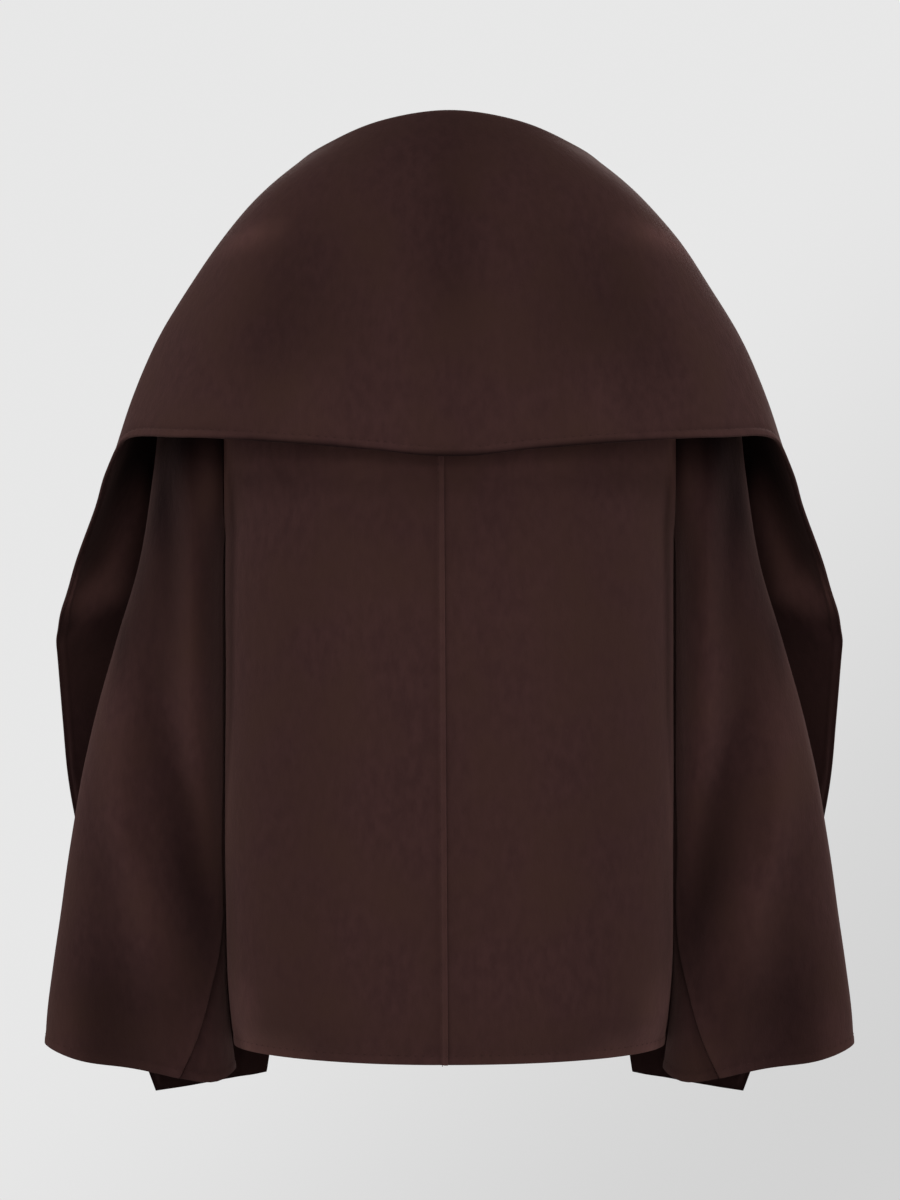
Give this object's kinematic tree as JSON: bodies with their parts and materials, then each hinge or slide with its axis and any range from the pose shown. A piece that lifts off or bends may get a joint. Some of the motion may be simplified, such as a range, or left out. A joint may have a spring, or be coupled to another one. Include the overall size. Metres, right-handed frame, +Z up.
{
  "type": "cape jacket",
  "caption": "Boxy wool cape jacket with bell sleeves and a wide shawl draped over the shoulders and down the front, in its worn shape with no wearer",
  "frame": {"origin": "middle of the neck at the height of the nape, where the wearer holds the garment up", "axes": "+X to the wearer's right, +Y to the wearer's front, +Z up"},
  "size_m": [0.647, 0.2864, 0.7875],
  "materials": {
    "wool": "matt brushed double-faced wool, dark brown, with a short soft nap"
  },
  "bodies": {
    "root": {"back_left": "wool", "back_right": "wool", "front_left": "wool", "front_right": "wool", "sleeve_left": "wool", "sleeve_right": "wool", "under_sleeve_left": "wool", "under_sleeve_right": "wool", "shawl": "wool"}
  },
  "joints": []
}
